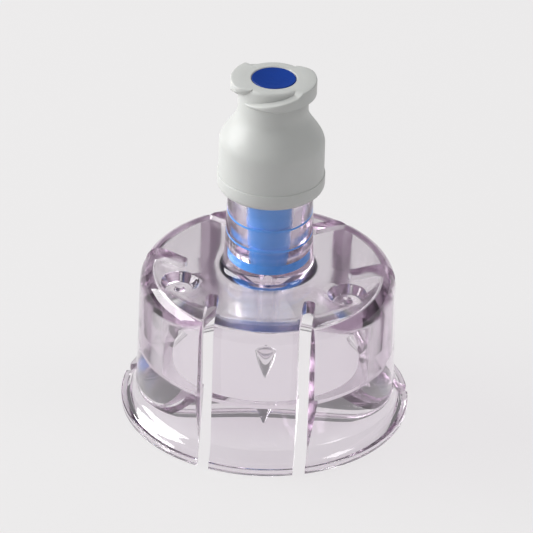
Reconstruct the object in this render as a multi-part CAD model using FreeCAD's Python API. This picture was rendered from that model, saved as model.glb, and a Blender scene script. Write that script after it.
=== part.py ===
import FreeCAD, Part
import math
import os

# Vial access device: a clear push-on adapter with a central spike, a white needle-free
# luer valve on its upper tube, and a blue silicone piston inside the valve.
# Millimetres, +Z up. The origin is on the axis, in the plane of the rim's bottom face.

# Skirt and top plate of the clear adapter
RIM_R = 13.85               # outer radius of the flared rim
RIM_EDGE = 0.70             # height of the rim's upright edge
FLARE_TOP = 2.45            # height at which the wall starts to flare
FLARE_MID_R = 12.92         # the flare's steep and flat halves meet here
FLARE_MID_Z = 1.42
SKIRT_R = 12.43             # outer radius of the wall above the flare
SKIRT_TOP_R = 12.24         # outer radius of the wall under the top corner
PLATE_TOP = 15.20           # height of the plate's upper face
PLATE_THICKNESS = 1.35
EDGE_R = 10.20              # where the plate starts to fall towards its edge
EDGE_SLOPE = 12.0           # that slope, degrees
CORNER_R = 1.35             # rounding between wall and plate, outside
INNER_BEVEL = 0.15          # bevel between wall and plate, inside
CAVITY_R = 10.40            # inner radius of the wall above the snap ridge
RIDGE_TOP = 6.30            # height of the ledge that holds the vial's closure
RIDGE_R = 9.30              # inner radius of the snap ridge
RIDGE_LAND = 0.45           # height of the ridge's upright land
RIDGE_SLOPE = 0.35          # drop of the ledge from the wall to the ridge
LEAD_IN_R = 12.00           # inner radius at the foot of the lead-in cone
LEAD_IN_Z = 1.60            # height of the foot of the lead-in cone
MOUTH_R = 13.05             # inner radius at the bottom face

# Slots that part the skirt into six spring fingers
STRAPS = 3                  # pairs of parallel slots round the axis
STRAP_ANGLE = 270.0         # direction of the first strap, degrees from +X
SLOT_OFFSET = 4.56          # from a strap's middle line to the middle of a slot
SLOT_WIDTH = 1.15
SLOT_START = 6.34           # from the axis to the inner end of a slot, along the strap

# Gate recesses on the plate, one between each two straps
DIMPLE_PLACE_R = 9.20
DIMPLE_R = 1.85
DIMPLE_FLOOR_R = 1.35
DIMPLE_DEPTH = 0.80
GATE_R = 0.45               # stub of the gate in the middle of the recess
GATE_HEIGHT = 0.45

# Tube that carries the valve
TUBE_R = 3.92               # at its upper end
TUBE_FOOT_R = 4.24
TUBE_TOP = 28.00
FOOT_BEVEL = 0.85           # bevel between tube and plate
BORE_R = 2.40
SEAT_TOP = 17.05            # upper end of the cone that narrows the bore
SEAT_CONE = 0.42            # height of that cone
SEAT_R = 2.25               # bore round the piston's foot
SEAT_FLOOR = 15.70          # face on which the piston stands

# Spike under the plate
SPIKE_ROOT_R = 1.95
SPIKE_R = 1.12              # where the taper of the shaft ends
SPIKE_NECK = 11.60          # height at which the root's cone ends
SPIKE_SHOULDER = 5.10       # height at which the point starts
SPIKE_BEND_R = 0.66         # where the point's two slopes meet
SPIKE_BEND = 3.65
SPIKE_TIP = 2.18            # height of the tip
TIP_R = 0.10
CHANNEL_R = 0.50            # drilled fluid channel
PORT_WIDTH = 0.80           # the four side openings of the channel
PORT_HEIGHT = 0.80
PORT_BOTTOM = 6.00

# White valve housing
SOCKET_DEPTH = 4.28         # how far the tube reaches into the housing
SOCKET_CLEARANCE = 0.03     # between the socket and the tube
FACE_RISE = 7.35            # from the tube's upper end to the luer face
FLANGE_R = 5.11             # lower flange
FLANGE_BEVEL = 0.70         # its bevel at the bottom
FLANGE_HEIGHT = 1.70
GROOVE = 0.14               # step between flange and body
BODY_R = 5.00
BODY_RISE = 0.60            # from the tube's upper end to the body's
SHOULDER_R = 4.72           # the shoulder is steep up to here, then slopes to the neck
SHOULDER_RISE = 0.80        # height of its steep part
SHOULDER_END_R = 3.58
SHOULDER_END_DEPTH = 4.15   # under the luer face
NECK_R = 3.33
NECK_DEPTH = 3.15           # under the luer face
NECK_BEVEL = 0.28           # round the luer face
CHAMBER_R = 3.00            # room for the piston's collar, in the housing and the tube
CHAMBER_DEPTH = 4.35        # under the luer face
CHAMBER_SPARE = 0.30        # left under the collar when the piston is pressed
CHAMBER_FLOOR_CONE = 0.60   # height of the cone that narrows the chamber to the bore
LUER_DEPTH = 2.95
LUER_R = 2.14               # mouth of the female luer
LUER_TAPER = 0.03           # radius lost per millimetre of depth
LUER_CHAMFER = 0.08

# The two luer-lock lugs
LUG_R = 4.06
LUG_LEAD = 5.00             # rise of the thread in one turn
LUG_STEP = -49.0            # angle at which the lug leaves the luer face
LUG_DROP = 0.32             # step from the face down to the thread's upper edge there
LUG_DEPTH = 1.45            # crest's lower edge under the luer face
LUG_LAND = 0.25             # least height of the crest, at its tail
LUG_END_RISE = 1.25         # rise of the lower edge from angle 0 to the first end
LUG_LOW_FLANK = 0.80        # drop of the lower flank from crest to neck
LUG_HIGH_FLANK = 0.20       # rise of the upper flank from crest to neck
LUG_FIRST = 50.0            # the lug's two ends, in degrees
LUG_LAST = -142.0
LUG_FADE_IN = 14.0          # degrees over which each end runs out into the neck
LUG_FADE_OUT = 60.0
LUG_TURN = 4.9              # the first lug's angle 0, degrees from +X
LUG_STATIONS = 16

# Blue silicone piston
STROKE = 5.00               # how far a male luer pushes the head down
HEAD_CLEARANCE = 0.04       # between the head and the narrow end of the luer bore
DISH_DEPTH = 0.18           # hollow of its upper face
SHOULDER_CLEARANCE = 0.25   # between the collar and the chamber
COLLAR_GAP = 0.10           # between the collar's top and the chamber's
COLLAR_HEIGHT = 1.80
COLLAR_SLOPE = 1.00         # height of the cone from the collar to the column
COLUMN_R = 2.20
RIB_CLEARANCE = 0.04        # between the ribs and the bore
RIB_HEIGHT = 0.26
RIB_PITCH = 2.22
RIB_FIRST = 18.20
RIB_COUNT = 2
FOOT_CLEARANCE = 0.03
FOOT_TOP_GAP = 0.05         # the foot ends this far under the cone's lower end
HOLLOW_R = 1.25
HOLLOW_DEPTH = 4.95         # upper end of the hollow, under the luer face

# Heights that follow from the sizes above
TOP_Z = TUBE_TOP + FACE_RISE
HOUSING_BOTTOM = TUBE_TOP - SOCKET_DEPTH
FLANGE_TOP = HOUSING_BOTTOM + FLANGE_HEIGHT
THROAT_Z = TOP_Z - LUER_DEPTH
CHAMBER_TOP = TOP_Z - CHAMBER_DEPTH
COLLAR_TOP = CHAMBER_TOP - COLLAR_GAP
COLLAR_BOTTOM = COLLAR_TOP - COLLAR_HEIGHT


def point(radius, height):
    return FreeCAD.Vector(radius, 0, height)


def line(a, b):
    return Part.LineSegment(a, b).toShape()


def revolved(edges):
    """Solid of revolution about Z from a closed outline in the XZ plane."""
    face = Part.Face(Part.Wire(edges))
    return face.revolve(FreeCAD.Vector(0, 0, 0), FreeCAD.Vector(0, 0, 1), 360)


def polygon(points):
    return [line(a, b) for a, b in zip(points, points[1:] + points[:1])]


def turned(shape, degrees):
    copy = shape.copy()
    copy.rotate(FreeCAD.Vector(0, 0, 0), FreeCAD.Vector(0, 0, 1), degrees)
    return copy


def cylinder(radius, bottom, top):
    return Part.makeCylinder(radius, top - bottom, point(0, bottom))


def tube_radius(height):
    """Outer radius of the tapered tube at a height."""
    foot = PLATE_TOP + FOOT_BEVEL
    return TUBE_FOOT_R + (TUBE_R - TUBE_FOOT_R) * (height - foot) / (TUBE_TOP - foot)


def pressed(height):
    """Where a height on the piston comes to lie when its head is pushed fully down."""
    length = TOP_Z - SEAT_FLOOR
    return SEAT_FLOOR + (height - SEAT_FLOOR) * (length - STROKE) / length


def skirt_and_tube():
    """The turned form of the adapter: skirt, plate and tube, before slots and spike."""
    underside = PLATE_TOP - PLATE_THICKNESS
    ledge_foot = RIDGE_TOP - RIDGE_SLOPE
    land_foot = ledge_foot - RIDGE_LAND

    slope = math.radians(EDGE_SLOPE)
    corner_r = SKIRT_TOP_R - CORNER_R
    slope_end_r = corner_r + CORNER_R * math.sin(slope)
    slope_end_z = PLATE_TOP - (slope_end_r - EDGE_R) * math.tan(slope)
    corner_z = slope_end_z - CORNER_R * math.cos(slope)
    middle = (slope + math.pi / 2) / 2

    rim_out, rim_top = point(RIM_R, 0), point(RIM_R, RIM_EDGE)
    flare_top = point(SKIRT_R, FLARE_TOP)
    flare_mid = point(FLARE_MID_R, FLARE_MID_Z)
    wall_top = point(SKIRT_TOP_R, corner_z)
    corner_middle = point(corner_r + CORNER_R * math.sin(middle),
                          corner_z + CORNER_R * math.cos(middle))
    slope_end = point(slope_end_r, slope_end_z)
    plate_out = point(EDGE_R, PLATE_TOP)
    plate_in = point(TUBE_FOOT_R + FOOT_BEVEL, PLATE_TOP)
    foot_top = point(TUBE_FOOT_R, PLATE_TOP + FOOT_BEVEL)
    tube_out = point(TUBE_R, TUBE_TOP)
    tube_axis = point(0, TUBE_TOP)
    roof_axis = point(0, underside)
    roof_out = point(CAVITY_R - INNER_BEVEL, underside)
    cavity_top = point(CAVITY_R, underside - INNER_BEVEL)
    ledge_out = point(CAVITY_R, RIDGE_TOP)
    ledge_in = point(RIDGE_R, ledge_foot)
    land_end = point(RIDGE_R, land_foot)
    cone_foot = point(LEAD_IN_R, LEAD_IN_Z)
    mouth = point(MOUTH_R, 0)

    return revolved([
        line(rim_out, rim_top),
        line(rim_top, flare_mid),
        line(flare_mid, flare_top),
        line(flare_top, wall_top),
        Part.Arc(wall_top, corner_middle, slope_end).toShape(),
        line(slope_end, plate_out),
        line(plate_out, plate_in),
        line(plate_in, foot_top),
        line(foot_top, tube_out),
        line(tube_out, tube_axis),
        line(tube_axis, roof_axis),
        line(roof_axis, roof_out),
        line(roof_out, cavity_top),
        line(cavity_top, ledge_out),
        line(ledge_out, ledge_in),
        line(ledge_in, land_end),
        line(land_end, cone_foot),
        line(cone_foot, mouth),
        line(mouth, rim_out)])


def spike():
    """Tapered shaft with a point of two slopes."""
    root = PLATE_TOP - PLATE_THICKNESS
    return revolved(polygon([
        point(0, PLATE_TOP), point(SPIKE_ROOT_R, PLATE_TOP), point(SPIKE_ROOT_R, root),
        point((SPIKE_ROOT_R + SPIKE_R) / 2, (root + SPIKE_NECK) / 2),
        point(SPIKE_R + 0.10, SPIKE_NECK), point(SPIKE_R, SPIKE_SHOULDER),
        point(SPIKE_BEND_R, SPIKE_BEND), point(TIP_R, SPIKE_TIP), point(0, SPIKE_TIP)]))


def fluid_path():
    """Valve bore, piston seat and the spike's channel with its four side ports."""
    cone_foot = SEAT_TOP - SEAT_CONE
    chamber_floor = pressed(COLLAR_BOTTOM - COLLAR_SLOPE) - CHAMBER_SPARE
    bore = revolved(polygon([
        point(0, SEAT_FLOOR), point(SEAT_R, SEAT_FLOOR), point(SEAT_R, cone_foot),
        point(BORE_R, SEAT_TOP), point(BORE_R, chamber_floor - CHAMBER_FLOOR_CONE),
        point(CHAMBER_R, chamber_floor), point(CHAMBER_R, TUBE_TOP + 1),
        point(0, TUBE_TOP + 1)]))
    channel = cylinder(CHANNEL_R, PORT_BOTTOM, SEAT_FLOOR + 1)
    port = Part.makeBox(4 * SPIKE_R, PORT_WIDTH, PORT_HEIGHT,
                        FreeCAD.Vector(-2 * SPIKE_R, -PORT_WIDTH / 2, PORT_BOTTOM))
    return bore.fuse([channel, port, turned(port, 90)])


def slot(side):
    """One slot of a pair beside a strap that points along +X."""
    middle = side * SLOT_OFFSET
    end = SLOT_START + SLOT_WIDTH / 2
    height = PLATE_TOP + 2
    straight = Part.makeBox(RIM_R, SLOT_WIDTH, height,
                            FreeCAD.Vector(end, middle - SLOT_WIDTH / 2, -1))
    rounded = Part.makeCylinder(SLOT_WIDTH / 2, height, FreeCAD.Vector(end, middle, -1))
    return straight.fuse(rounded)


def dimple():
    """Gate recess with sloped sides and the stub of the gate left standing in its middle."""
    floor = FreeCAD.Vector(DIMPLE_PLACE_R, 0, PLATE_TOP - DIMPLE_DEPTH)
    recess = Part.makeCone(DIMPLE_FLOOR_R, DIMPLE_R, DIMPLE_DEPTH, floor)
    return recess.cut(Part.makeCylinder(GATE_R, GATE_HEIGHT, floor))


def vial_adapter():
    """The clear moulding: six fingers, plate, tube and spike in one piece."""
    body = skirt_and_tube().fuse(spike())
    cuts = [fluid_path()]
    step = 360.0 / STRAPS
    for number in range(STRAPS):
        strap = STRAP_ANGLE + number * step
        cuts += [turned(slot(side), strap) for side in (-1, 1)]
        cuts.append(turned(dimple(), strap + step / 2))
    return body.cut(cuts)


def lug():
    """One helical luer-lock lug; both its ends run out into the neck."""
    inside = NECK_R - 0.50
    sections = []
    for station in range(LUG_STATIONS + 1):
        angle = LUG_FIRST + (LUG_LAST - LUG_FIRST) * station / LUG_STATIONS
        fade = min(1.0, (LUG_FIRST - angle + 2) / LUG_FADE_IN,
                   (angle - LUG_LAST + 4) / LUG_FADE_OUT)
        crest = NECK_R - 0.05 + (LUG_R - NECK_R + 0.05) * math.sin(fade * math.pi / 2)
        if angle > LUG_STEP:
            high = TOP_Z + LUG_DROP
        else:
            high = TOP_Z - LUG_DROP + LUG_LEAD * (angle - LUG_STEP) / 360.0
        low = TOP_Z - LUG_DEPTH + LUG_END_RISE * max(0.0, angle) / LUG_FIRST
        low = min(low, high - LUG_LAND)
        outline = [(inside, low - LUG_LOW_FLANK), (crest, low), (crest, high),
                   (inside, high + LUG_HIGH_FLANK)]
        wire = Part.makePolygon([point(r, z) for r, z in outline + outline[:1]])
        sections.append(turned(wire, angle))
    return Part.makeLoft(sections, True, False)


def valve_housing():
    """The white moulding: tube socket, piston chamber, neck and luer-lock mouth."""
    body_top = TUBE_TOP + BODY_RISE
    neck_foot = TOP_Z - NECK_DEPTH
    outer = revolved(polygon([
        point(0, HOUSING_BOTTOM), point(FLANGE_R - FLANGE_BEVEL, HOUSING_BOTTOM),
        point(FLANGE_R, HOUSING_BOTTOM + FLANGE_BEVEL), point(FLANGE_R, FLANGE_TOP),
        point(BODY_R, FLANGE_TOP + GROOVE), point(BODY_R, body_top),
        point(SHOULDER_R, body_top + SHOULDER_RISE),
        point(SHOULDER_END_R, TOP_Z - SHOULDER_END_DEPTH),
        point(NECK_R, neck_foot), point(NECK_R, TOP_Z - NECK_BEVEL),
        point(NECK_R - NECK_BEVEL, TOP_Z), point(0, TOP_Z)]))
    lugs = [turned(lug(), LUG_TURN + half) for half in (0, 180)]
    below_face = cylinder(FLANGE_R, neck_foot - 2, TOP_Z)
    solid = outer.fuse([each.common(below_face) for each in lugs])

    throat_r = LUER_R - LUER_TAPER * LUER_DEPTH
    hollow = revolved(polygon([
        point(0, HOUSING_BOTTOM - 1),
        point(tube_radius(HOUSING_BOTTOM - 1) + SOCKET_CLEARANCE, HOUSING_BOTTOM - 1),
        point(TUBE_R + SOCKET_CLEARANCE, TUBE_TOP), point(CHAMBER_R, TUBE_TOP),
        point(CHAMBER_R, CHAMBER_TOP), point(throat_r, THROAT_Z),
        point(LUER_R - LUER_TAPER * LUER_CHAMFER, TOP_Z - LUER_CHAMFER),
        point(LUER_R + LUER_CHAMFER, TOP_Z), point(LUER_R + LUER_CHAMFER, TOP_Z + 1),
        point(0, TOP_Z + 1)]))
    return solid.cut(hollow)


def valve_piston():
    """Hollow silicone piston: dished head, collar, ribbed column and foot."""
    head_r = LUER_R - LUER_TAPER * LUER_DEPTH - HEAD_CLEARANCE
    collar_r = CHAMBER_R - SHOULDER_CLEARANCE
    foot_r = SEAT_R - FOOT_CLEARANCE
    foot_top = SEAT_TOP - SEAT_CONE - FOOT_TOP_GAP
    column_foot = SEAT_TOP + FOOT_TOP_GAP
    hollow_top = TOP_Z - HOLLOW_DEPTH
    edges = polygon([
        point(0, TOP_Z), point(head_r, TOP_Z), point(head_r, THROAT_Z),
        point(collar_r, COLLAR_TOP), point(collar_r, COLLAR_BOTTOM),
        point(COLUMN_R, COLLAR_BOTTOM - COLLAR_SLOPE), point(COLUMN_R, column_foot),
        point(foot_r, foot_top), point(foot_r, SEAT_FLOOR), point(HOLLOW_R, SEAT_FLOOR),
        point(HOLLOW_R, hollow_top - HOLLOW_R), point(0, hollow_top)])
    solid = revolved(edges)
    rib_r = BORE_R - RIB_CLEARANCE
    for number in range(RIB_COUNT):
        height = RIB_FIRST + number * RIB_PITCH
        rib = cylinder(rib_r, height - RIB_HEIGHT / 2, height + RIB_HEIGHT / 2)
        solid = solid.fuse(rib.cut(cylinder(HOLLOW_R, height - 1, height + 1)))
    dish_r = DISH_DEPTH / 2 + head_r ** 2 / (2 * DISH_DEPTH)
    dish = Part.makeSphere(dish_r, FreeCAD.Vector(0, 0, TOP_Z - DISH_DEPTH + dish_r))
    return solid.cut(dish)


def save(name, shape):
    solid = shape.removeSplitter()
    if len(solid.Solids) != 1 or not solid.isValid():
        raise ValueError(name + " is not one valid solid")
    solid.Solids[0].exportStep("parts/" + name + ".step")
    box = solid.optimalBoundingBox(False)
    print("%-14s volume %8.2f  z %6.2f to %6.2f  width %5.2f"
          % (name, solid.Volume, box.ZMin, box.ZMax, box.XLength))


os.makedirs("parts", exist_ok=True)
save("vial_adapter", vial_adapter())
save("valve_housing", valve_housing())
save("valve_piston", valve_piston())
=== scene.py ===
import math

import bpy
from bpy.props import FloatProperty, FloatVectorProperty, PointerProperty
from mathutils import Matrix, Vector


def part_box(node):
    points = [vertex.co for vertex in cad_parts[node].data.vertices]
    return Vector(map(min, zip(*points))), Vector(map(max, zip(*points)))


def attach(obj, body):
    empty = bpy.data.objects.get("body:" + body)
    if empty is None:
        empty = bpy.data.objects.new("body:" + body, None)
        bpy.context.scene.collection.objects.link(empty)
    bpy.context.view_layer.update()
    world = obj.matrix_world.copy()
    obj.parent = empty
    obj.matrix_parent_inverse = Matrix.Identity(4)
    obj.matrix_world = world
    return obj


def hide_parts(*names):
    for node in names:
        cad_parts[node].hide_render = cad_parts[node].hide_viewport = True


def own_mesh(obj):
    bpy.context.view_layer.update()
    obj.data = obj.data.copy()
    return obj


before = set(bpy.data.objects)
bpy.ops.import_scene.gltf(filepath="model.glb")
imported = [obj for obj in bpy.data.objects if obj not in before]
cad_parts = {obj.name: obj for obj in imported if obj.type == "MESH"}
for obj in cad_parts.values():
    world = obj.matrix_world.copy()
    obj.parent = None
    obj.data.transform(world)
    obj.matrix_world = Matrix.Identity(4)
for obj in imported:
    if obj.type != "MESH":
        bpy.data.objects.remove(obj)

bl_info = {
    "name": "Vial access device",
    "version": (1, 0, 0),
    "blender": (4, 5, 0),
    "location": "View3D > Sidebar > Vial device",
    "description": "Clear push-on vial adapter with a white luer valve and a blue silicone piston",
    "category": "Object",
}

ADAPTER_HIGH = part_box("vial_adapter")[1]
HOUSING_LOW, HOUSING_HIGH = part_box("valve_housing")
PISTON_LOW, PISTON_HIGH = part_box("valve_piston")

MM = 0.001
ORIGIN = (0.0, 0.0, 0.0)
WELD = 1e-7                            # points of cutters and lugs nearer than this are one point
SEAM = 2e-6                            # the same for turned solids
TURN_STEPS = 384                       # faces round the clear adapter
STRAPS = 3                             # fingers that lie between the two slots of a pair
STRAP_MIDDLE = math.radians(270)       # the strap that faces the camera
LUG_FIRST, LUG_LAST = 50.0, -142.0     # degrees at which a lug begins and ends


def length(name, description, default):
    """A size in metres that the sidebar shows."""
    return FloatProperty(name=name, description=description, default=default,
                         unit="LENGTH", subtype="DISTANCE", precision=5)


def colour(name, description, default):
    """A linear colour that the sidebar shows."""
    return FloatVectorProperty(name=name, description=description, default=default,
                               subtype="COLOR", size=3, min=0.0, max=1.0)


class AdapterSizes(bpy.types.PropertyGroup):
    """Sizes and tint of the clear push-on adapter."""
    rim_radius: length("Rim radius", "Outer radius of the flared rim", ADAPTER_HIGH.x)
    tube_top: length("Tube top", "Height of the upper end of the tube", ADAPTER_HIGH.z)
    skirt_radius: length("Skirt radius", "Outer radius of the wall above the flare", 12.43 * MM)
    skirt_top_radius: length("Skirt top radius", "Wall radius under the top corner", 12.24 * MM)
    plate_top: length("Plate top", "Height of the plate's upper face", 15.20 * MM)
    plate_thickness: length("Plate thickness", "Thickness of the top plate", 1.35 * MM)
    cavity_radius: length("Cavity radius", "Inner radius above the retaining ridge", 10.40 * MM)
    ridge_radius: length("Ridge radius", "Inner radius of the retaining ridge", 9.30 * MM)
    ridge_top: length("Ridge top", "Height of the retaining ridge's ledge", 6.30 * MM)
    bore_radius: length("Bore radius", "Bore of the tube", 2.40 * MM)
    seat_floor: length("Seat floor", "Height of the face the piston stands on", PISTON_LOW.z)
    slot_width: length("Slot width", "Width of the slots between the fingers", 1.15 * MM)
    slot_offset: length("Slot offset", "From a strap's middle to a slot's middle", 4.56 * MM)
    slot_start: length("Slot start", "From the axis to a slot's inner end", 6.34 * MM)
    dimple_place: length("Dimple place", "From the axis to the gate recesses", 9.20 * MM)
    dimple_radius: length("Dimple radius", "Radius of a gate recess", 1.85 * MM)
    passed: colour("Light passed", "Colour that a path through the plastic lets through",
                   (0.44, 0.24, 0.43))
    density: FloatProperty(name="Tint density", description="Absorption per metre of path",
                           default=80.0, min=0.0)


class ValveSizes(bpy.types.PropertyGroup):
    """Sizes and colours of the valve housing and its piston."""
    mouth_radius: length("Mouth radius", "Radius of the female luer at its face", 2.14 * MM)
    lug_radius: length("Lug radius", "Outer radius of the two luer-lock lugs", 4.06 * MM)
    neck_radius: length("Neck radius", "Radius of the neck under the mouth", 3.33 * MM)
    body_radius: length("Body radius", "Radius of the body above the flange", 5.00 * MM)
    flange_radius: length("Flange radius", "Radius of the lower flange", HOUSING_HIGH.x)
    white: colour("Housing white", "Colour of the housing", (0.51, 0.52, 0.50))
    blue: colour("Silicone blue", "Colour of the piston's solid head", (0.0, 0.034, 0.25))
    # The column blue is partly the silicone's own paler colour and partly painted light: it is
    # raised to stand in for side light and for the tube's sheen over the column.
    pale: colour("Column blue", "Colour of its thin-walled column", (0.08, 0.42, 1.0))


class StudioLook(bpy.types.PropertyGroup):
    """Camera and floor."""
    camera_place: FloatVectorProperty(
        name="Camera place", description="Where the camera stands", size=3,
        default=(0.03282, -0.38599, 0.24763), unit="LENGTH", precision=5)
    camera_heading: FloatProperty(name="Camera heading", description="Turn about the upright",
                                  default=math.radians(4.885), subtype="ANGLE")
    camera_dip: FloatProperty(name="Camera dip", description="Angle below the horizon",
                              default=math.radians(31.004), subtype="ANGLE")
    camera_roll: FloatProperty(name="Camera roll", description="Tilt about the line of sight",
                               default=math.radians(1.711), subtype="ANGLE")
    focal_length: FloatProperty(name="Focal length", description="In mm on a 36 mm sensor",
                                default=320.14)
    floor_pale: colour("Floor", "Colour of the floor as it is seen", (0.84, 0.83, 0.83))


# Outlines: lists of (radius, height) points in metres

def arc(centre_r, centre_z, radius, first, last, steps):
    """Points of an arc about a centre, from one angle to another in degrees."""
    turn = [math.radians(first + (last - first) * i / steps) for i in range(steps + 1)]
    return [(centre_r + radius * math.cos(a), centre_z + radius * math.sin(a)) for a in turn]


def run(first, last, steps):
    """Points of a straight stretch, both ends included."""
    return [(first[0] + (last[0] - first[0]) * i / steps,
             first[1] + (last[1] - first[1]) * i / steps) for i in range(steps + 1)]


def curve(start, pull, end, steps):
    """Points of a curve between two ends, drawn towards a third point, without its start."""
    points = []
    for i in range(1, steps + 1):
        t = i / steps
        share = (1 - t) ** 2, 2 * t * (1 - t), t * t
        points.append(tuple(share[0] * start[k] + share[1] * pull[k] + share[2] * end[k]
                            for k in (0, 1)))
    return points


# Modelling helpers

def deselect_all():
    """Leaves edit mode and selects nothing."""
    if bpy.context.object and bpy.context.object.mode != "OBJECT":
        bpy.ops.object.mode_set(mode="OBJECT")
    bpy.ops.object.select_all(action="DESELECT")


def pick(piece):
    """Makes the piece the only one that operators act on."""
    deselect_all()
    piece.select_set(True)
    bpy.context.view_layer.objects.active = piece


def weld(piece, threshold):
    """Joins points that lie together and turns the faces outwards."""
    pick(piece)
    bpy.ops.object.mode_set(mode="EDIT")
    bpy.ops.mesh.select_all(action="SELECT")
    bpy.ops.mesh.remove_doubles(threshold=threshold)
    bpy.ops.mesh.normals_make_consistent(inside=False)
    bpy.ops.object.mode_set(mode="OBJECT")
    return piece


def lathe(name, outline, steps=TURN_STEPS):
    """A closed turned solid: a vertex is extruded along the outline and spun about Z."""
    deselect_all()
    bpy.ops.mesh.primitive_plane_add(size=MM, location=ORIGIN)
    piece = bpy.context.object
    piece.name = name
    bpy.ops.object.mode_set(mode="EDIT")
    bpy.ops.mesh.select_all(action="SELECT")
    bpy.ops.mesh.merge(type="CENTER")
    on_axis = outline[0][0] == outline[-1][0] == 0.0
    here = Vector(ORIGIN)
    for number, (r, z) in enumerate(outline if on_axis else outline + outline[:1]):
        there = Vector((r, 0.0, z))
        if number == 0:
            bpy.ops.transform.translate(value=there - here)
        else:
            bpy.ops.mesh.extrude_region_move(TRANSFORM_OT_translate={"value": there - here})
        here = there
    bpy.ops.mesh.select_all(action="SELECT")
    bpy.ops.mesh.spin(steps=steps, angle=math.tau, center=ORIGIN, axis=(0, 0, 1))
    return weld(piece, SEAM)


def carve(piece, cutter, operation="DIFFERENCE"):
    """Boolean of the piece with a cutter, which is then removed."""
    pick(piece)
    change = piece.modifiers.new("Boolean", "BOOLEAN")
    change.operation = operation
    change.object = cutter
    change.solver = "MANIFOLD"
    bpy.ops.object.modifier_apply(modifier=change.name)
    bpy.data.objects.remove(cutter)


def place(piece, turn=0.0, offset=(0, 0, 0)):
    """Moves a cutter by an offset, then turns it about Z, in its mesh."""
    piece.data.transform(Matrix.Rotation(turn, 4, "Z") @ Matrix.Translation(offset))
    piece.data.update()
    return piece


def dress(piece, material, angle=30.0):
    """Gives the piece its one material and shades it smooth up to an angle."""
    piece.data.materials.clear()
    piece.data.materials.append(material)
    pick(piece)
    bpy.ops.object.transform_apply(location=True, rotation=True, scale=True)
    bpy.ops.object.shade_smooth_by_angle(angle=math.radians(angle), keep_sharp_edges=False)


# Materials

def new_material(name):
    """A material with only its shader and output, and its node tree."""
    material = bpy.data.materials.new(name)
    material.use_nodes = True
    tree = material.node_tree
    for node in list(tree.nodes):
        if node.type not in {"BSDF_PRINCIPLED", "OUTPUT_MATERIAL"}:
            tree.nodes.remove(node)
    return material, tree, tree.nodes["Principled BSDF"], tree.nodes["Material Output"]


def add_node(tree, kind, **values):
    """A node with its inputs set by name; names with capitals are sockets."""
    node = tree.nodes.new(kind)
    for key, value in values.items():
        if key[0].isupper():
            node.inputs[key.replace("_", " ")].default_value = value
        else:
            setattr(node, key, value)
    return node


def noise(tree, scale, detail=2.0):
    """Noise on Object coordinates; scale is in features per metre."""
    where = add_node(tree, "ShaderNodeTexCoord")
    pattern = add_node(tree, "ShaderNodeTexNoise", Scale=scale, Detail=detail, Roughness=0.5)
    tree.links.new(where.outputs["Object"], pattern.inputs["Vector"])
    return pattern.outputs["Fac"]


def spread(tree, source, low, high):
    """Maps the middle of a noise, from 0.3 to 0.7, to low..high."""
    scaled = add_node(tree, "ShaderNodeMapRange")
    scaled.inputs["From Min"].default_value = 0.3
    scaled.inputs["From Max"].default_value = 0.7
    scaled.inputs["To Min"].default_value = low
    scaled.inputs["To Max"].default_value = high
    tree.links.new(source, scaled.inputs["Value"])
    return scaled.outputs["Result"]


def bump(tree, source, height, principled):
    """A shallow relief of the given height."""
    relief = add_node(tree, "ShaderNodeBump", Strength=0.5, Distance=height)
    tree.links.new(source, relief.inputs["Height"])
    tree.links.new(relief.outputs["Normal"], principled.inputs["Normal"])


def math_node(tree, operation, first, *values):
    """A maths node fed by a socket, with numbers or sockets for its other inputs."""
    node = add_node(tree, "ShaderNodeMath", operation=operation)
    tree.links.new(first, node.inputs[0])
    for number, value in enumerate(values, 1):
        if isinstance(value, bpy.types.NodeSocket):
            tree.links.new(value, node.inputs[number])
        else:
            node.inputs[number].default_value = value
    return node.outputs[0]


def vector_node(tree, operation, vector, other=ORIGIN):
    """A vector maths node on a socket and a fixed vector."""
    node = add_node(tree, "ShaderNodeVectorMath", operation=operation)
    tree.links.new(vector, node.inputs[0])
    node.inputs[1].default_value = other
    return node


def height_of(tree, where):
    """The height in a socket's coordinates."""
    parts = add_node(tree, "ShaderNodeSeparateXYZ")
    tree.links.new(where, parts.inputs["Vector"])
    return parts.outputs["Z"]


def mix_colours(tree, share, first, second, kind="MIX"):
    """Two colours mixed by a share; the first may be a socket."""
    mix = add_node(tree, "ShaderNodeMix", data_type="RGBA", blend_type=kind)
    if isinstance(first, bpy.types.NodeSocket):
        tree.links.new(first, mix.inputs["A"])
    else:
        mix.inputs["A"].default_value = (*first, 1)
    mix.inputs["B"].default_value = (*second, 1)
    tree.links.new(share, mix.inputs["Factor"])
    return mix.outputs["Result"]


def mix_shaders(tree, share, first, second, surface):
    """Feeds a surface with the first shader, and with the second by a share."""
    mix = add_node(tree, "ShaderNodeMixShader")
    for number, socket in enumerate((share, first.outputs[0], second.outputs[0])):
        tree.links.new(socket, mix.inputs[number])
    tree.links.new(mix.outputs[0], surface)


def satin_where(tree, distance, value, roughness, reach=0.04 * MM):
    """The roughness where a distance is within reach of a value, and none elsewhere."""
    near = math_node(tree, "COMPARE", distance, value, reach)
    return math_node(tree, "MULTIPLY", near, roughness)


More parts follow.
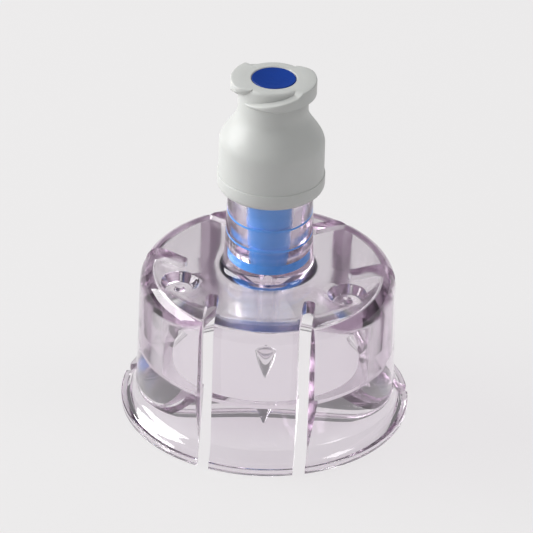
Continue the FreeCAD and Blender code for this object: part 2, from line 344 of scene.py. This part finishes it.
def clear_polycarbonate(s):
    """Polished violet-cast clear plastic; plate underside, bore and slot walls are satin."""
    plate_satin, bore_satin, slot_satin = 0.16, 0.12, 0.16
    material, tree, shader, output = new_material("clear_polycarbonate")
    shader.inputs["Base Color"].default_value = (1, 1, 1, 1)
    shader.inputs["Transmission Weight"].default_value = 1.0
    shader.inputs["IOR"].default_value = 1.585
    where = add_node(tree, "ShaderNodeTexCoord").outputs["Object"]
    flat = vector_node(tree, "MULTIPLY", where, (1, 1, 0)).outputs["Vector"]
    from_axis = vector_node(tree, "LENGTH", flat).outputs["Value"]
    under = s.plate_top - s.plate_thickness
    satin = math_node(tree, "ADD", satin_where(tree, height_of(tree, where), under, plate_satin),
                      satin_where(tree, from_axis, s.bore_radius, bore_satin))
    for number in range(STRAPS):
        turn = STRAP_MIDDLE + number * math.tau / STRAPS
        sideways = (-math.sin(turn), math.cos(turn), 0)
        from_middle = vector_node(tree, "DOT_PRODUCT", where, sideways).outputs["Value"]
        from_middle = math_node(tree, "ABSOLUTE", from_middle)
        from_slot = math_node(tree, "SUBTRACT", from_middle, s.slot_offset)
        from_slot = math_node(tree, "ABSOLUTE", from_slot)
        walls = satin_where(tree, from_slot, s.slot_width / 2, slot_satin, reach=0.01 * MM)
        satin = math_node(tree, "MAXIMUM", satin, walls)
    tree.links.new(satin, shader.inputs["Roughness"])
    bump(tree, noise(tree, 180.0, 1.0), 0.0015 * MM, shader)

    tint = add_node(tree, "ShaderNodeVolumeAbsorption", Density=s.density)
    tint.inputs["Color"].default_value = (*s.passed, 1)
    tree.links.new(tint.outputs["Volume"], output.inputs["Volume"])

    # Rays to the lamps and from matt faces pass straight through, so the shadow stays pale
    path = add_node(tree, "ShaderNodeLightPath")
    lamp_ray = math_node(tree, "MAXIMUM", path.outputs["Is Shadow Ray"],
                         path.outputs["Is Diffuse Ray"])
    veil = add_node(tree, "ShaderNodeBsdfTransparent")
    veil.inputs["Color"].default_value = (0.94, 0.91, 0.94, 1)
    mix_shaders(tree, lamp_ray, shader, veil, output.inputs["Surface"])
    return material


def white_plastic(white):
    """Satin moulded plastic with a fine spark texture and a faint mottle."""
    darker = [part * 0.965 for part in white]
    material, tree, shader, _ = new_material("white_housing")
    mottle = spread(tree, noise(tree, 420.0, 3.0), 0.0, 1.0)
    tree.links.new(mix_colours(tree, mottle, darker, white), shader.inputs["Base Color"])
    tree.links.new(spread(tree, noise(tree, 1500.0, 3.0), 0.40, 0.50),
                   shader.inputs["Roughness"])
    shader.inputs["IOR"].default_value = 1.49
    shader.inputs["Subsurface Weight"].default_value = 0.15
    shader.inputs["Subsurface Scale"].default_value = 0.6 * MM
    shader.inputs["Subsurface Radius"].default_value = (1.0, 0.9, 0.8)
    bump(tree, noise(tree, 6000.0), 0.003 * MM, shader)
    return material


def blue_rubber(head, column):
    """Soft silicone, deep in the solid head and paler in the thin-walled column, whose paler blue
    is partly its own and partly painted light and sheen.
    """
    # Below this height the blue turns to the column blue, which holds painted light and sheen.
    painted_light_below, deep_above = 27.0 * MM, 32.0 * MM
    mottle_tint = (0.88, 0.88, 0.90)
    material, tree, shader, _ = new_material("blue_silicone")
    where = add_node(tree, "ShaderNodeTexCoord").outputs["Object"]
    depth = add_node(tree, "ShaderNodeMapRange", interpolation_type="SMOOTHSTEP")
    depth.inputs["From Min"].default_value = painted_light_below
    depth.inputs["From Max"].default_value = deep_above
    tree.links.new(height_of(tree, where), depth.inputs["Value"])
    base = mix_colours(tree, depth.outputs["Result"], column, head)
    mottle = spread(tree, noise(tree, 700.0), 0.0, 1.0)
    tree.links.new(mix_colours(tree, mottle, base, mottle_tint, "MULTIPLY"),
                   shader.inputs["Base Color"])
    tree.links.new(spread(tree, noise(tree, 2500.0), 0.42, 0.55), shader.inputs["Roughness"])
    shader.inputs["IOR"].default_value = 1.41
    shader.inputs["Specular IOR Level"].default_value = 0.3
    bump(tree, noise(tree, 8000.0), 0.002 * MM, shader)
    return material


def studio_floor(pale):
    """Pale sheet that shows its own colour and keeps a soft shadow."""
    shown, change_when_bent = 0.80, -0.40
    material, tree, shader, output = new_material("studio_floor")
    shader.inputs["Base Color"].default_value = (*[part * 0.88 for part in pale], 1)
    shader.inputs["Roughness"].default_value = 0.6
    glow = add_node(tree, "ShaderNodeEmission", Strength=1.0)
    glow.inputs["Color"].default_value = (*pale, 1)

    # A ray that clear plastic bends counts as glossy too, and half of its share is taken off
    path = add_node(tree, "ShaderNodeLightPath")
    seen = math_node(tree, "MAXIMUM", path.outputs["Is Camera Ray"],
                     path.outputs["Is Glossy Ray"])
    bent = math_node(tree, "MULTIPLY", path.outputs["Is Transmission Ray"], change_when_bent)
    share = math_node(tree, "MULTIPLY_ADD", seen, shown, bent)
    mix_shaders(tree, share, shader, glow, output.inputs["Surface"])
    return material


# The clear adapter

def adapter_outline(s):
    """Half section of the clear moulding: spike, cavity, skirt, plate and tube."""
    rim, edge = s.rim_radius, 0.12 * MM
    rim_top, flare_top = 0.70 * MM, 2.45 * MM
    plate, under = s.plate_top, s.plate_top - s.plate_thickness
    corner, inner_corner = 2.20 * MM, 0.15 * MM
    corner_r, top_r = s.skirt_top_radius - corner, s.cavity_radius + 0.25 * MM
    foot_r, foot = 4.24 * MM, 0.85 * MM
    tube_r, tube_edge = 3.92 * MM, 0.1 * MM
    chamber_r, chamber_foot, bore_top = 3.00 * MM, 24.6 * MM, 24.0 * MM
    seat_r, seat_top, bore_foot = 2.25 * MM, 16.63 * MM, 17.05 * MM
    channel, port_bottom = 0.50 * MM, 6.00 * MM
    ledge_foot = s.ridge_top - 0.35 * MM
    land_foot = ledge_foot - 0.45 * MM
    face_r, lead_in = 13.05 * MM, (12.00 * MM, 1.60 * MM)

    flare_r, flare_z, flare_turn = flare_circle(s.skirt_radius, flare_top, rim, rim_top)
    points = [(0.0, port_bottom), (channel, port_bottom), (channel, s.seat_floor)]
    points += [(seat_r, s.seat_floor), (seat_r, seat_top)]
    points += [(s.bore_radius, bore_foot), (s.bore_radius, bore_top)]
    points += [(chamber_r, chamber_foot), (chamber_r, s.tube_top), (tube_r, s.tube_top)]
    points += run((tube_r, s.tube_top - tube_edge), (foot_r, plate + foot), steps=10)[:-1]
    points += arc(foot_r + foot, plate + foot, foot, 180, 270, steps=10)
    points += run((foot_r + foot, plate), (corner_r, plate), steps=6)[1:-1]
    points += arc(corner_r, plate - corner, corner, 90, 0, steps=22)
    points += run((s.skirt_top_radius, plate - corner), (s.skirt_radius, flare_top),
                  steps=10)[1:-1]
    points += arc(flare_r, flare_z, *flare_turn, steps=14)
    points += arc(rim - edge, rim_top - edge, edge, 75, 0, steps=4)
    points += arc(rim - edge, edge, edge, 0, -90, steps=4)
    points += [(face_r, 0.0), lead_in]
    points += run(lead_in, (s.ridge_radius, land_foot), steps=4)[1:]
    points += [(s.ridge_radius, ledge_foot), (s.cavity_radius, s.ridge_top)]
    points += run((s.cavity_radius, s.ridge_top), (top_r, under - inner_corner),
                  steps=8)[1:-1]
    points += arc(top_r - inner_corner, under - inner_corner, inner_corner, 0, 90, steps=8)
    return points + spike_outline(under)


def flare_circle(top_r, top_z, foot_r, foot_z):
    """Centre, radius and angles of the concave arc between the wall and the rim's edge."""
    bulge = 0.36 * MM
    chord = Vector((foot_r - top_r, foot_z - top_z))
    middle = Vector((top_r, top_z)) + chord / 2
    radius = (chord.length_squared / 4 + bulge ** 2) / (2 * bulge)
    inward = Vector((chord.y, -chord.x)).normalized()
    centre = middle - inward * (radius - bulge)
    ends = [math.degrees(math.atan2(z - centre.y, r - centre.x)) % 360
            for r, z in ((top_r, top_z), (foot_r, foot_z))]
    return centre.x, centre.y, (radius, ends[0], ends[1])


def spike_outline(root_z):
    """Half section of the tapered spike, from its root to its tip."""
    root_r, neck_r, end_r, bend_r = 1.95 * MM, 1.22 * MM, 1.12 * MM, 0.66 * MM
    neck_z, shoulder_z, bend_z = 11.60 * MM, 5.10 * MM, 3.65 * MM
    tip_r, tip_z, tip_dome = 0.10 * MM, 2.18 * MM, 0.04 * MM
    fillet, fillet_in = 0.35 * MM, 0.15 * MM
    neck, bend = (neck_r, neck_z), (bend_r, bend_z)
    end = (end_r, shoulder_z + 0.5 * MM)
    pull = ((end_r + bend_r) / 2 + 0.12 * MM, shoulder_z - 0.4 * MM)
    points = arc(root_r + fillet, root_z - fillet, fillet, 90, 165, steps=5)
    points += run((root_r - fillet_in, root_z - fillet * 2), neck, steps=3)
    points += run(neck, end, steps=6)[1:]
    points += curve(end, pull, bend, steps=8)
    points += run(bend, (tip_r, tip_z), steps=6)[1:]
    return points + [(0.0, tip_z - tip_dome)]


def port_cutter(turn):
    """The tool of two opposite side ports: a bar with rounded edges across the spike."""
    reach, side, soft, middle_z = 5.0 * MM, 0.80 * MM, 0.18 * MM, 6.40 * MM
    deselect_all()
    bpy.ops.mesh.primitive_cube_add(size=1.0, location=ORIGIN)
    tool = bpy.context.object
    tool.data.transform(Matrix.Diagonal((reach, side, side, 1.0)))
    round_off = tool.modifiers.new("Bevel", "BEVEL")
    round_off.width = soft
    round_off.segments = 3
    bpy.ops.object.modifier_apply(modifier=round_off.name)
    return place(tool, turn, (0, 0, middle_z))


def slot_cutter(s, side):
    """A slot's tool: a round bar whose outer half is drawn out past the rim."""
    height, below_rim = 20 * MM, MM
    end, middle = s.slot_start + s.slot_width / 2, side * s.slot_offset
    deselect_all()
    bpy.ops.mesh.primitive_cylinder_add(
        vertices=48, radius=s.slot_width / 2, depth=height,
        location=(end, middle, height / 2 - below_rim))
    tool = bpy.context.object
    bpy.ops.object.transform_apply(location=True)
    for vertex in tool.data.vertices:
        if vertex.co.x > end + WELD:
            vertex.co.x = end + s.rim_radius
            vertex.co.y = middle + math.copysign(s.slot_width / 2, vertex.co.y - middle)
    return weld(tool, WELD)


def dimple_cutter(s):
    """A gate recess's tool: a bowl with a hollow for the gate's stub."""
    r, floor_r, depth, soft = s.dimple_radius, 1.35 * MM, 0.80 * MM, 0.22 * MM
    stub, stub_up, stub_edge = 0.45 * MM, 0.45 * MM, 0.1 * MM
    above, lip, edge = 1.0 * MM, 0.2 * MM, 0.08 * MM
    outline = [(0.0, above), (r + lip, above), (r + lip, 0.03 * MM)]
    outline += [(r + edge, 0.0), (r, -0.04 * MM), (r - 0.07 * MM, -0.14 * MM)]
    outline += arc(floor_r - soft + edge, soft - depth, soft, -20, -90, steps=5)
    outline += [(stub + stub_edge, -depth), (stub, -depth + stub_edge),
                (stub - 0.06 * MM, -depth + stub_up - edge), (0.0, -depth + stub_up)]
    tool = lathe("dimple_tool", outline, steps=64)
    return place(tool, 0.0, (s.dimple_place, 0, s.plate_top))


def make_adapter(s):
    """The clear moulding: turned, then cut by slots, gate recesses and side ports."""
    body = lathe("adapter_clear", adapter_outline(s))
    third = math.tau / STRAPS
    for number in range(STRAPS):
        strap = STRAP_MIDDLE + number * third
        for side in (-1, 1):
            carve(body, place(slot_cutter(s, side), strap))
        carve(body, place(dimple_cutter(s), strap + third / 2))
    for turn in (0.0, math.pi / 2):
        carve(body, port_cutter(turn))
    dress(body, clear_polycarbonate(s))
    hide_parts("vial_adapter")
    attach(body, "device")


# The white housing

def housing_outline(s):
    """Half section of the housing: socket, chamber, luer bore, neck, shoulder and flange."""
    top, bottom = HOUSING_HIGH.z, HOUSING_LOW.z
    entry_r, socket_r, chamber_r = 4.065 * MM, 3.95 * MM, 3.00 * MM
    chamber_top, throat_z, taper = 31.00 * MM, 32.40 * MM, 0.03
    throat_r = s.mouth_radius - taper * (top - throat_z)
    mouth_foot = (s.mouth_radius - 0.02 * MM, top - 0.08 * MM)
    mouth_edge = (s.mouth_radius + 0.06 * MM, top)
    bevel, groove = 0.70 * MM, 0.14 * MM
    flange_top, body_top, neck_z = 25.42 * MM, 28.60 * MM, 32.20 * MM
    soft, edge = 0.10 * MM, 0.40 * MM

    points = [(entry_r, bottom), (socket_r, ADAPTER_HIGH.z)]
    points += [(chamber_r, ADAPTER_HIGH.z), (chamber_r, chamber_top), (throat_r, throat_z)]
    points += [mouth_foot, mouth_edge]
    points += arc(s.neck_radius - edge, top - edge, edge, 90, 0, steps=6)
    points += run((s.neck_radius, top - edge), (s.neck_radius, neck_z), steps=6)[1:]
    points += shoulder(s, body_top, neck_z)
    points += run((s.body_radius, body_top), (s.body_radius, flange_top + groove), steps=6)[1:]
    points += arc(s.flange_radius - soft, flange_top - soft, soft, 90, 0, steps=3)
    points += arc(s.flange_radius - bevel, bottom + bevel, bevel, 0, -90, steps=10)
    return points


def shoulder(s, low, high):
    """The S-shaped shoulder between the body and the neck, from the top down."""
    steps, fullness = 24, 1.05
    points = []
    for i in range(1, steps):
        t = i / steps
        ease = t * t * (3 - 2 * t)
        points.append((s.neck_radius + (s.body_radius - s.neck_radius) * ease ** fullness,
                       high + (low - high) * t))
    return points


def lug_section(s, angle):
    """Corners of a lug's section, as (radius, height), at an angle in degrees."""
    face, lead, soft = HOUSING_HIGH.z, 5.0 * MM, 0.14 * MM
    inside, sunk = s.neck_radius - 0.5 * MM, 0.05 * MM
    leaves_face, drop, ramp = -46.0, 0.32 * MM, 9.0
    depth, end_rise, end_curve = 1.45, 1.25, 0.65
    fade_in, fade_out = 30.0, 60.0

    fade = max(0.0, min(1.0, (LUG_FIRST - angle + 1) / fade_in, (angle - LUG_LAST + 4) / fade_out))
    crest = s.neck_radius - sunk + (s.lug_radius - s.neck_radius + sunk) * math.sin(
        fade * math.pi / 2)
    below = max(0.0, leaves_face - angle)
    high = face - drop * min(1.0, below / ramp) - lead * max(0.0, below - ramp / 2) / 360.0
    rise = end_rise * (max(0.0, angle) / LUG_FIRST) ** end_curve
    low = min(face - (depth - rise) * MM, high - 0.2 * MM)
    bend = min(soft, (high - low) / 2.5)
    points = [(inside, low - 0.8 * MM)]
    points += arc(crest - bend, low + bend * 0.6, bend, -50, 0, steps=3)
    points += arc(crest - bend, high - bend, bend, 0, 90, steps=3)
    return points + [(inside, min(high + 0.2 * MM, face))]


def make_lug(s, turn):
    """One helical lug: a bar's end face is extruded, turned and lowered step by step."""
    steps = 64
    sweep = math.radians(LUG_LAST - LUG_FIRST) / steps
    count = len(lug_section(s, LUG_FIRST))
    deselect_all()
    bpy.ops.mesh.primitive_circle_add(vertices=count, radius=MM, fill_type="NGON")
    lug = bpy.context.object
    bpy.ops.object.mode_set(mode="EDIT")
    bpy.ops.mesh.select_all(action="SELECT")
    for _ in range(steps):
        bpy.ops.mesh.extrude_region_move(TRANSFORM_OT_translate={"value": (0, 0, MM)})
    bpy.ops.object.mode_set(mode="OBJECT")
    rows = sorted({round(vertex.co.z, 6) for vertex in lug.data.vertices})
    for vertex in lug.data.vertices:
        station = rows.index(round(vertex.co.z, 6))
        corner = round(math.atan2(vertex.co.x, vertex.co.y) / math.tau * count) % count
        angle = LUG_FIRST + math.degrees(sweep) * station
        r, z = lug_section(s, angle)[corner]
        around = math.radians(angle) + turn
        vertex.co = (r * math.cos(around), r * math.sin(around), z)
    return weld(lug, WELD)


def make_housing(s):
    """The white housing: turned, with two lugs opposite each other joined to its neck."""
    lug_turn = math.radians(4.9)
    body = lathe("housing_white", housing_outline(s), steps=192)
    for half in (0.0, math.pi):
        carve(body, make_lug(s, lug_turn + half), "UNION")
    dress(body, white_plastic(s.white), angle=35.0)
    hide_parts("valve_housing")
    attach(body, "device")


# The blue piston

def piston_outline(adapter):
    """Half section of the hollow piston; its foot and ribs press into the tube's wall."""
    top, floor = PISTON_HIGH.z, PISTON_LOW.z
    press = 0.012 * MM
    bore, column = adapter.bore_radius + press, 2.20 * MM
    foot_r, foot_top, column_foot = 2.25 * MM + press, 16.58 * MM, 17.10 * MM
    collar_r, collar_low, collar_high = 2.75 * MM, 29.10 * MM, 30.90 * MM
    column_top, head_foot = 28.10 * MM, 32.40 * MM
    head_r, dish = 2.10 * MM, 0.18 * MM
    face_r = head_r - 0.08 * MM
    hollow_r, hollow_top = 1.25 * MM, 30.40 * MM
    ribs, half_rib = (18.20 * MM, 20.42 * MM), 0.13 * MM

    points = [(0.0, hollow_top), (hollow_r, hollow_top - hollow_r), (hollow_r, floor - press)]
    points += [(foot_r, floor - press), (foot_r, foot_top), (column, column_foot)]
    for rib in ribs:
        points += [(column, rib - half_rib), (bore, rib - half_rib * 0.8),
                   (bore, rib + half_rib * 0.8), (column, rib + half_rib)]
    points += [(column, column_top), (collar_r, collar_low), (collar_r, collar_high)]
    points += [(head_r - 0.05 * MM, head_foot), (head_r, top - 0.10 * MM), (face_r, top)]
    bowl_r, rings = dish / 2 + face_r ** 2 / (2 * dish), 8
    for i in range(1, rings + 1):
        r = face_r * (1 - i / rings)
        points.append((r, top - dish + bowl_r - math.sqrt(bowl_r ** 2 - r ** 2)))
    return points


def make_piston(s, adapter):
    """The blue piston, turned from its outline, with a mesh of its own."""
    body = lathe("piston_blue", piston_outline(adapter), steps=128)
    dress(body, blue_rubber(s.blue, s.pale), angle=40.0)
    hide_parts("valve_piston")
    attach(body, "device")
    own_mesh(body)


# The stage

# Each lamp's name, azimuth and elevation in degrees, distance, width and height in metres
# and power in watts
LAMPS = (("softbox_left", 174, 26, 0.9, 0.78, 0.48, 11.0),
         ("softbox_right", 3, 55, 1.0, 0.25, 0.25, 1.2),
         ("softbox_top", 100, 70, 1.0, 0.5, 0.5, 0.6))


def make_floor(look):
    """A wide floor, just under the rim so that the two faces don't meet."""
    gap = 0.03 * MM
    deselect_all()
    bpy.ops.mesh.primitive_plane_add(size=3.0, location=(0, 0, -gap))
    floor = bpy.context.object
    floor.name = "studio_floor"
    floor.data.materials.append(studio_floor(look.floor_pale))


def make_camera(look):
    """The camera, placed as the photo was taken."""
    deselect_all()
    bpy.ops.object.camera_add()
    camera = bpy.context.object
    camera.data.sensor_width = 36.0
    camera.data.lens = look.focal_length
    camera.data.clip_start = 0.01
    camera.data.clip_end = 20.0
    camera.matrix_world = (Matrix.Translation(look.camera_place)
                           @ Matrix.Rotation(look.camera_heading, 4, "Z")
                           @ Matrix.Rotation(math.pi / 2 - look.camera_dip, 4, "X")
                           @ Matrix.Rotation(look.camera_roll, 4, "Z"))
    bpy.context.scene.camera = camera


def softbox(name, azimuth, elevation, distance, width, height, power):
    """An area lamp that faces the object's middle."""
    middle_z = 15 * MM
    a, e = math.radians(azimuth), math.radians(elevation)
    away = Vector((math.cos(a) * math.cos(e), math.sin(a) * math.cos(e), math.sin(e)))
    deselect_all()
    bpy.ops.object.light_add(type="AREA", location=away * distance + Vector((0, 0, middle_z)))
    lamp = bpy.context.object
    lamp.name = name
    lamp.data.shape = "RECTANGLE"
    lamp.data.size, lamp.data.size_y = width, height
    lamp.data.energy = power
    lamp.rotation_euler = away.to_track_quat("Z", "Y").to_euler()


def make_world():
    """A soft fill on matt faces, and a dimmer room where faces mirror it or plastic bends it."""
    room, on_matt, in_mirrors = (0.80, 0.80, 0.82, 1), 0.60, 0.24
    world = bpy.data.worlds.new("studio_world")
    bpy.context.scene.world = world
    world.use_nodes = True
    tree = world.node_tree
    fill = tree.nodes["Background"]
    fill.inputs["Strength"].default_value = on_matt
    dim = add_node(tree, "ShaderNodeBackground", Strength=in_mirrors)
    for light in (fill, dim):
        light.inputs["Color"].default_value = room
    path = add_node(tree, "ShaderNodeLightPath")
    mirrored = math_node(tree, "MAXIMUM", path.outputs["Is Glossy Ray"],
                         path.outputs["Is Transmission Ray"])
    mix_shaders(tree, mirrored, fill, dim, tree.nodes["World Output"].inputs["Surface"])


# Operators

class OBJECT_OT_clear_adapter(bpy.types.Operator):
    """Model the clear push-on adapter"""
    bl_idname = "object.clear_adapter"
    bl_label = "Clear adapter"

    def execute(self, context):
        make_adapter(context.scene.adapter_sizes)
        return {"FINISHED"}


class OBJECT_OT_valve_housing(bpy.types.Operator):
    """Model the white valve housing with its luer-lock lugs"""
    bl_idname = "object.valve_housing"
    bl_label = "Valve housing"

    def execute(self, context):
        make_housing(context.scene.valve_sizes)
        return {"FINISHED"}


class OBJECT_OT_valve_piston(bpy.types.Operator):
    """Model the blue silicone piston"""
    bl_idname = "object.valve_piston"
    bl_label = "Valve piston"

    def execute(self, context):
        make_piston(context.scene.valve_sizes, context.scene.adapter_sizes)
        return {"FINISHED"}


class SCENE_OT_vial_studio(bpy.types.Operator):
    """Set up the floor, the lamps, the world and the camera"""
    bl_idname = "scene.vial_studio"
    bl_label = "Studio"

    def execute(self, context):
        look = context.scene.studio_look
        make_floor(look)
        make_world()
        for lamp in LAMPS:
            softbox(*lamp)
        make_camera(look)
        context.scene.view_settings.view_transform = "Standard"
        context.scene.cycles.max_bounces = 32
        context.scene.cycles.transmission_bounces = 32
        context.scene.cycles.glossy_bounces = 12
        context.scene.cycles.transparent_max_bounces = 32
        return {"FINISHED"}


class VIEW3D_PT_vial_device(bpy.types.Panel):
    """Sidebar panel that lists the pieces and the stage"""
    bl_label = "Vial device"
    bl_idname = "VIEW3D_PT_vial_device"
    bl_space_type = "VIEW_3D"
    bl_region_type = "UI"
    bl_category = "Vial device"

    def draw(self, context):
        for step in STEPS:
            self.layout.operator(step.bl_idname)


STEPS = (OBJECT_OT_clear_adapter, OBJECT_OT_valve_housing, OBJECT_OT_valve_piston,
         SCENE_OT_vial_studio)
CLASSES = (AdapterSizes, ValveSizes, StudioLook, *STEPS, VIEW3D_PT_vial_device)


def register():
    for each in CLASSES:
        bpy.utils.register_class(each)
    bpy.types.Scene.adapter_sizes = PointerProperty(type=AdapterSizes)
    bpy.types.Scene.valve_sizes = PointerProperty(type=ValveSizes)
    bpy.types.Scene.studio_look = PointerProperty(type=StudioLook)


def unregister():
    del bpy.types.Scene.studio_look, bpy.types.Scene.valve_sizes, bpy.types.Scene.adapter_sizes
    for each in reversed(CLASSES):
        bpy.utils.unregister_class(each)


def main():
    register()
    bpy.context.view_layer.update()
    bpy.ops.object.clear_adapter()
    bpy.ops.object.valve_housing()
    bpy.ops.object.valve_piston()
    bpy.ops.scene.vial_studio()


if __name__ == "__main__":
    main()
